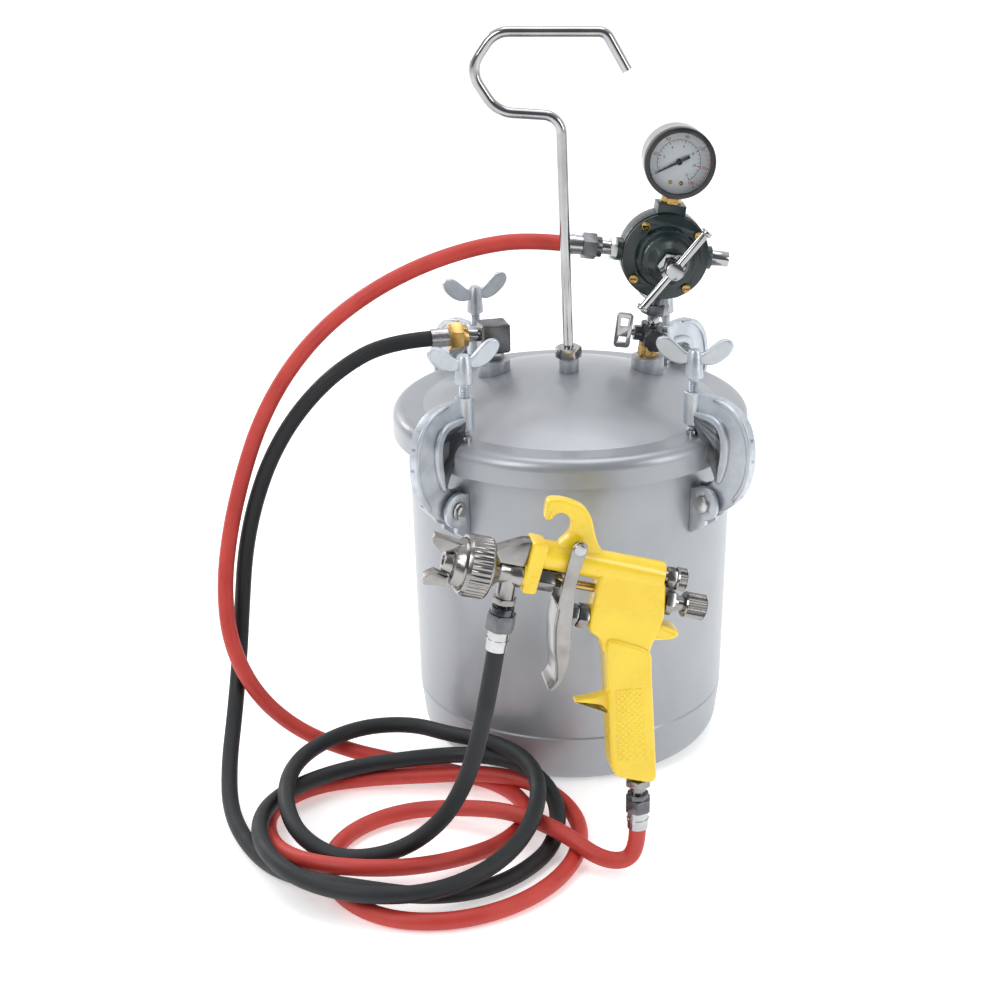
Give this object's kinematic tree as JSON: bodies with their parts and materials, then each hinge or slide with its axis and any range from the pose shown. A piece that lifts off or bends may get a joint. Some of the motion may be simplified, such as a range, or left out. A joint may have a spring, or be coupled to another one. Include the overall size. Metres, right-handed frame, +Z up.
{
  "type": "paint pressure pot with spray gun",
  "caption": "Lidded steel pressure vessel with swing clamps, hanging hook, air regulator and gauge, feeding a hand spray gun through a fluid hose and an air hose.",
  "frame": {"origin": "centre of the flat base, on the floor the pot stands on", "axes": "+Z up; +X to the right of someone facing the gun side; +Y away from them"},
  "size_m": [0.4181, 0.4661, 0.569],
  "materials": {
    "adjusting_bar": "nickel or chrome plated",
    "adjusting_screw": "nickel or chrome plated",
    "air_hose": "matt red rubber",
    "base_pan": "satin silver paint",
    "bonnet_screws": "turned brass",
    "clamp_arm_back_left": "zinc-plated casting",
    "clamp_arm_back_right": "zinc-plated casting",
    "clamp_arm_front_left": "zinc-plated casting",
    "clamp_arm_front_right": "zinc-plated casting",
    "clamp_brackets": "zinc-plated casting",
    "clamp_pad_back_left": "zinc-plated casting",
    "clamp_pad_back_right": "zinc-plated casting",
    "clamp_pad_front_left": "zinc-plated casting",
    "clamp_pad_front_right": "zinc-plated casting",
    "clamp_pins": "zinc-plated casting",
    "clamp_screw_back_left": "zinc-plated casting",
    "clamp_screw_back_right": "zinc-plated casting",
    "clamp_screw_front_left": "zinc-plated casting",
    "clamp_screw_front_right": "zinc-plated casting",
    "fluid_hose": "matt black rubber",
    "fluid_outlet_nut": "turned brass",
    "gauge_bezel": "black",
    "gauge_case": "zinc plated",
    "gauge_dial": "printed dial",
    "gauge_glass": "clear",
    "gauge_pointer": "black",
    "gauge_stem": "turned brass",
    "gun_air_cap": "nickel or chrome plated",
    "gun_air_nipple": "nickel or chrome plated",
    "gun_air_valve": "nickel or chrome plated",
    "gun_air_valve_nut": "nickel or chrome plated",
    "gun_body": "yellow enamel",
    "gun_cap_ring": "nickel or chrome plated",
    "gun_fan_knob": "nickel or chrome plated",
    "gun_fluid_knob": "nickel or chrome plated",
    "gun_head": "nickel or chrome plated",
    "gun_knob_bushings": "nickel or chrome plated",
    "gun_needle": "turned brass",
    "gun_packing_nut": "nickel or chrome plated",
    "gun_trigger": "nickel or chrome plated",
    "gun_trigger_pin": "nickel or chrome plated",
    "hanger_rod": "nickel or chrome plated",
    "hose_ferrules": "zinc plated",
    "hose_nuts": "plated steel",
    "inlet_cross": "nickel or chrome plated",
    "inlet_nipple": "turned brass",
    "lid_bosses": "satin silver paint",
    "lid_gasket": "moulded rubber",
    "lid_shell": "satin silver paint",
    "lock_nuts": "nickel or chrome plated",
    "outlet_elbow": "nickel or chrome plated",
    "pickup_tube": "zinc plated",
    "pipe_nipples": "nickel or chrome plated",
    "regulator_body": "dark green enamel",
    "regulator_bonnet": "dark green enamel",
    "relief_ring": "nickel or chrome plated",
    "spring_seat": "zinc plated",
    "tank_shell": "satin silver paint",
    "union_nut": "nickel or chrome plated",
    "vent_knob": "black"
  },
  "bodies": {
    "pot": {"air_hose": "air_hose", "base_pan": "base_pan", "bonnet_screws": "bonnet_screws", "clamp_brackets": "clamp_brackets", "clamp_pins": "clamp_pins", "fluid_hose": "fluid_hose", "fluid_outlet_nut": "fluid_outlet_nut", "gauge_bezel": "gauge_bezel", "gauge_case": "gauge_case", "gauge_dial": "gauge_dial", "gauge_glass": "gauge_glass", "gauge_stem": "gauge_stem", "gun_air_nipple": "gun_air_nipple", "gun_air_valve_nut": "gun_air_valve_nut", "gun_body": "gun_body", "gun_head": "gun_head", "gun_knob_bushings": "gun_knob_bushings", "gun_packing_nut": "gun_packing_nut", "gun_trigger_pin": "gun_trigger_pin", "hanger_rod": "hanger_rod", "hose_ferrules": "hose_ferrules", "hose_nuts": "hose_nuts", "inlet_cross": "inlet_cross", "inlet_nipple": "inlet_nipple", "lid_bosses": "lid_bosses", "lid_gasket": "lid_gasket", "lid_shell": "lid_shell", "lock_nuts": "lock_nuts", "outlet_elbow": "outlet_elbow", "pickup_tube": "pickup_tube", "pipe_nipples": "pipe_nipples", "regulator_body": "regulator_body", "regulator_bonnet": "regulator_bonnet", "tank_shell": "tank_shell", "union_nut": "union_nut"},
    "clamp_arm_back_left": {"clamp_arm_back_left": "clamp_arm_back_left"},
    "clamp_arm_back_right": {"clamp_arm_back_right": "clamp_arm_back_right"},
    "clamp_arm_front_left": {"clamp_arm_front_left": "clamp_arm_front_left"},
    "clamp_arm_front_right": {"clamp_arm_front_right": "clamp_arm_front_right"},
    "clamp_pad_back_left": {"clamp_pad_back_left": "clamp_pad_back_left"},
    "clamp_pad_back_right": {"clamp_pad_back_right": "clamp_pad_back_right"},
    "clamp_pad_front_left": {"clamp_pad_front_left": "clamp_pad_front_left"},
    "clamp_pad_front_right": {"clamp_pad_front_right": "clamp_pad_front_right"},
    "clamp_screw_back_left": {"clamp_screw_back_left": "clamp_screw_back_left"},
    "clamp_screw_back_right": {"clamp_screw_back_right": "clamp_screw_back_right"},
    "clamp_screw_front_left": {"clamp_screw_front_left": "clamp_screw_front_left"},
    "clamp_screw_front_right": {"clamp_screw_front_right": "clamp_screw_front_right"},
    "vent_knob": {"vent_knob": "vent_knob"},
    "relief_ring": {"relief_ring": "relief_ring"},
    "spring_seat": {"spring_seat": "spring_seat"},
    "adjusting_screw": {"adjusting_screw": "adjusting_screw"},
    "adjusting_bar": {"adjusting_bar": "adjusting_bar"},
    "gauge_pointer": {"gauge_pointer": "gauge_pointer"},
    "gun_air_cap": {"gun_air_cap": "gun_air_cap"},
    "gun_cap_ring": {"gun_cap_ring": "gun_cap_ring"},
    "gun_needle": {"gun_needle": "gun_needle"},
    "gun_trigger": {"gun_trigger": "gun_trigger"},
    "gun_air_valve": {"gun_air_valve": "gun_air_valve"},
    "gun_fan_knob": {"gun_fan_knob": "gun_fan_knob"},
    "gun_fluid_knob": {"gun_fluid_knob": "gun_fluid_knob"}
  },
  "joints": [
    {"name": "clamp_swing_front_left", "type": "hinge", "parent": "pot", "child": "clamp_arm_front_left", "pos_m": [-0.08935, -0.10648, 0.229], "axis": [0.766, -0.6428, 0], "range_deg": [0, 95]},
    {"name": "clamp_pad_lift_front_left", "type": "slide", "parent": "clamp_arm_front_left", "child": "clamp_pad_front_left", "axis": [0, 0, 1], "range_m": [0, 0.004]},
    {"name": "clamp_screw_turn_front_left", "type": "hinge", "parent": "clamp_pad_front_left", "child": "clamp_screw_front_left", "pos_m": [-0.07842, -0.09346, 0.283], "axis": [0, 0, 1], "range_deg": [0, 1152]},
    {"name": "clamp_swing_front_right", "type": "hinge", "parent": "pot", "child": "clamp_arm_front_right", "pos_m": [0.1049, -0.09119, 0.229], "axis": [0.6561, 0.7547, 0], "range_deg": [0, 95]},
    {"name": "clamp_pad_lift_front_right", "type": "slide", "parent": "clamp_arm_front_right", "child": "clamp_pad_front_right", "axis": [0, 0, 1], "range_m": [0, 0.004]},
    {"name": "clamp_screw_turn_front_right", "type": "hinge", "parent": "clamp_pad_front_right", "child": "clamp_screw_front_right", "pos_m": [0.09208, -0.08004, 0.283], "axis": [0, 0, 1], "range_deg": [0, 1152]},
    {"name": "clamp_swing_back_left", "type": "hinge", "parent": "pot", "child": "clamp_arm_back_left", "pos_m": [-0.08935, 0.10648, 0.229], "axis": [-0.766, -0.6428, 0], "range_deg": [0, 95]},
    {"name": "clamp_pad_lift_back_left", "type": "slide", "parent": "clamp_arm_back_left", "child": "clamp_pad_back_left", "axis": [0, 0, 1], "range_m": [0, 0.004]},
    {"name": "clamp_screw_turn_back_left", "type": "hinge", "parent": "clamp_pad_back_left", "child": "clamp_screw_back_left", "pos_m": [-0.07842, 0.09346, 0.283], "axis": [0, 0, 1], "range_deg": [0, 1152]},
    {"name": "clamp_swing_back_right", "type": "hinge", "parent": "pot", "child": "clamp_arm_back_right", "pos_m": [0.08935, 0.10648, 0.229], "axis": [-0.766, 0.6428, 0], "range_deg": [0, 95]},
    {"name": "clamp_pad_lift_back_right", "type": "slide", "parent": "clamp_arm_back_right", "child": "clamp_pad_back_right", "axis": [0, 0, 1], "range_m": [0, 0.004]},
    {"name": "clamp_screw_turn_back_right", "type": "hinge", "parent": "clamp_pad_back_right", "child": "clamp_screw_back_right", "pos_m": [0.07842, 0.09346, 0.283], "axis": [0, 0, 1], "range_deg": [0, 1152]},
    {"name": "spring_seat_slide", "type": "slide", "parent": "pot", "child": "spring_seat", "axis": [-0.1208, 0.9925, 0.0159], "range_m": [-0.006, 0.004]},
    {"name": "adjusting_screw_turn", "type": "hinge", "parent": "spring_seat", "child": "adjusting_screw", "pos_m": [0.0773, -0.0167, 0.39065], "axis": [-0.1208, 0.9925, 0.0159], "range_deg": [-1440, 960]},
    {"name": "adjusting_bar_slide", "type": "slide", "parent": "adjusting_screw", "child": "adjusting_bar", "axis": [0.6454, 0.0664, 0.7609], "range_m": [-0.025, 0.025]},
    {"name": "gauge_pointer_sweep", "type": "hinge", "parent": "pot", "child": "gauge_pointer", "pos_m": [0.08309, 0.01506, 0.46452], "axis": [-0.1208, 0.9925, 0.0159], "range_deg": [0, 265], "stiffness_Nm_per_rad": 0.0001, "springref_deg": -17.19},
    {"name": "vent_knob_turn", "type": "hinge", "parent": "pot", "child": "vent_knob", "pos_m": [0.06566, 0.00811, 0.32561], "axis": [0.1208, -0.9925, -0.0159], "range_deg": [0, 360]},
    {"name": "relief_ring_pull", "type": "slide", "parent": "pot", "child": "relief_ring", "axis": [-0.9841, -0.1219, 0.1296], "range_m": [0, 0.004], "stiffness_N_per_m": 1200, "springref_m": -0.002},
    {"name": "gun_trigger_pull", "type": "hinge", "parent": "pot", "child": "gun_trigger", "pos_m": [0.00385, -0.257, 0.2652], "axis": [0.2079, -0.9781, 0], "range_deg": [0, 8], "stiffness_Nm_per_rad": 1.2, "springref_deg": -6.88},
    {"name": "gun_needle_slide", "type": "slide", "parent": "pot", "child": "gun_needle", "axis": [0.9403, 0.1999, -0.2756], "range_m": [0, 0.0043]},
    {"name": "gun_air_valve_slide", "type": "slide", "parent": "pot", "child": "gun_air_valve", "axis": [0.9403, 0.1999, -0.2756], "range_m": [0, 0.0073]},
    {"name": "gun_fan_knob_turn", "type": "hinge", "parent": "pot", "child": "gun_fan_knob", "pos_m": [0.0757, -0.24173, 0.23113], "axis": [0.9403, 0.1999, -0.2756], "range_deg": [-360, 360]},
    {"name": "gun_fluid_knob_turn", "type": "hinge", "parent": "pot", "child": "gun_fluid_knob", "pos_m": [0.08509, -0.23973, 0.21018], "axis": [0.9403, 0.1999, -0.2756], "range_deg": [-720, 720]},
    {"name": "gun_air_cap_turn", "type": "hinge", "parent": "pot", "child": "gun_air_cap", "pos_m": [-0.07476, -0.27371, 0.25704], "axis": [0.9403, 0.1999, -0.2756], "range_deg": [0, 90]},
    {"name": "gun_cap_ring_turn", "type": "hinge", "parent": "pot", "child": "gun_cap_ring", "pos_m": [-0.06253, -0.27111, 0.25345], "axis": [0.9403, 0.1999, -0.2756], "range_deg": [-360, 360]}
  ],
  "couplings": [
    {"joint": "clamp_screw_turn_front_left", "follows": "clamp_pad_lift_front_left", "rad_per_m": 5026.5},
    {"joint": "clamp_screw_turn_front_right", "follows": "clamp_pad_lift_front_right", "rad_per_m": 5026.5},
    {"joint": "clamp_screw_turn_back_left", "follows": "clamp_pad_lift_back_left", "rad_per_m": 5026.5},
    {"joint": "clamp_screw_turn_back_right", "follows": "clamp_pad_lift_back_right", "rad_per_m": 5026.5},
    {"joint": "adjusting_screw_turn", "follows": "spring_seat_slide", "rad_per_m": 4188.7},
    {"joint": "gun_needle_slide", "follows": "gun_trigger_pull", "m_per_rad": 0.03},
    {"joint": "gun_air_valve_slide", "follows": "gun_trigger_pull", "m_per_rad": 0.0515}
  ]
}
